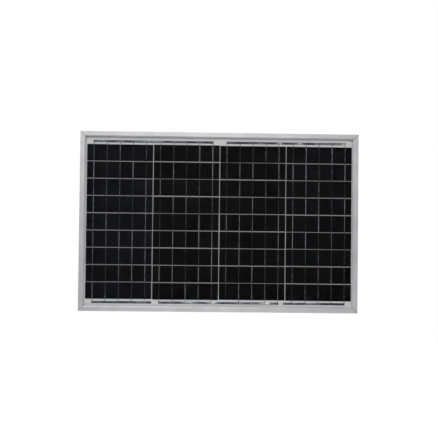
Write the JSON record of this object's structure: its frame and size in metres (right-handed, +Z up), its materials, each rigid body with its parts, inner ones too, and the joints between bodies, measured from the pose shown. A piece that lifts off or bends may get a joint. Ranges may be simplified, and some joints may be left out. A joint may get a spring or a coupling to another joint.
{
  "type": "framed solar panel",
  "caption": "Framed photovoltaic panel: cut cells in strings behind glass, mitred aluminium frame with rear mounting flange, and a junction box with hinged lid and cable glands.",
  "frame": {"origin": "centre of the four mounting slots, on the rear face of the frame's flange", "axes": "+X to the right as seen from the glass side, along the long edge; +Y out of the back; +Z up, along the short edge"},
  "size_m": [0.665, 0.025, 0.428],
  "materials": {
    "anodised_aluminium": "satin anodised",
    "cast_key": "as cast",
    "silicone_sealant": "satin",
    "tempered_glass": "low-iron, smooth",
    "encapsulant": "clear film",
    "backsheet": "fine matte",
    "silicon_cell": "dark, anti-reflection coated",
    "tinned_copper": "tinned, slightly wavy",
    "insulation_strip": "matte film",
    "box_adhesive": "satin",
    "box_plastic": "fine moulded texture",
    "seal_rubber": "matte",
    "gland_nylon": "moulded",
    "terminal_brass": "tinned",
    "zinc_steel": "zinc plated",
    "spring_steel": "bright",
    "diode_epoxy": "moulded epoxy",
    "label_film": "satin film, blank"
  },
  "bodies": {
    "panel": {"backsheet": "backsheet", "bus_bottom_left": "tinned_copper", "bus_bottom_middle": "tinned_copper", "bus_bottom_right": "tinned_copper", "bus_top_left": "tinned_copper", "bus_top_right": "tinned_copper", "bypass_diode_left": "diode_epoxy", "bypass_diode_right": "diode_epoxy", "cell_string_1": "silicon_cell", "cell_string_2": "silicon_cell", "cell_string_3": "silicon_cell", "cell_string_4": "silicon_cell", "corner_key_bottom_left": "cast_key", "corner_key_bottom_right": "cast_key", "corner_key_top_left": "cast_key", "corner_key_top_right": "cast_key", "edge_sealant": "silicone_sealant", "encapsulant_front": "encapsulant", "encapsulant_rear": "encapsulant", "frame_rail_bottom": "anodised_aluminium", "frame_rail_left": "anodised_aluminium", "frame_rail_right": "anodised_aluminium", "frame_rail_top": "anodised_aluminium", "gland_seal_left": "seal_rubber", "gland_seal_right": "seal_rubber", "glass_cover": "tempered_glass", "jbox_adhesive": "box_adhesive", "jbox_base": "box_plastic", "lead_insulation": "insulation_strip", "lead_out_left": "tinned_copper", "lead_out_middle": "tinned_copper", "lead_out_right": "tinned_copper", "rating_label": "label_film", "ribbon_clips": "spring_steel", "tab_ribbons_1": "tinned_copper", "tab_ribbons_2": "tinned_copper", "tab_ribbons_3": "tinned_copper", "tab_ribbons_4": "tinned_copper", "terminal_left": "terminal_brass", "terminal_middle": "terminal_brass", "terminal_right": "terminal_brass", "terminal_screws": "zinc_steel", "wire_clamps": "zinc_steel"},
    "jbox_lid": {"jbox_lid": "box_plastic", "lid_gasket": "seal_rubber"},
    "gland_washer_left": {"gland_washer_left": "gland_nylon"},
    "gland_nut_left": {"gland_nut_left": "gland_nylon"},
    "gland_washer_right": {"gland_washer_right": "gland_nylon"},
    "gland_nut_right": {"gland_nut_right": "gland_nylon"}
  },
  "joints": [
    {"name": "lid_hinge", "type": "hinge", "parent": "panel", "child": "jbox_lid", "pos_m": [0, -0.0034, -0.1846], "axis": [-1, 0, 0], "range_deg": [0, 110]},
    {"name": "gland_travel_left", "type": "slide", "parent": "panel", "child": "gland_washer_left", "axis": [0, 0, 1], "range_m": [0, 0.003]},
    {"name": "gland_turn_left", "type": "hinge", "parent": "gland_washer_left", "child": "gland_nut_left", "pos_m": [-0.026, -0.0093, -0.095], "axis": [0, 0, 1], "range_deg": [0, 721]},
    {"name": "gland_travel_right", "type": "slide", "parent": "panel", "child": "gland_washer_right", "axis": [0, 0, 1], "range_m": [0, 0.003]},
    {"name": "gland_turn_right", "type": "hinge", "parent": "gland_washer_right", "child": "gland_nut_right", "pos_m": [0.026, -0.0093, -0.095], "axis": [0, 0, 1], "range_deg": [0, 721]}
  ],
  "couplings": [
    {"joint": "gland_turn_left", "follows": "gland_travel_left", "rad_per_m": 4188.8},
    {"joint": "gland_turn_right", "follows": "gland_travel_right", "rad_per_m": 4188.8}
  ]
}
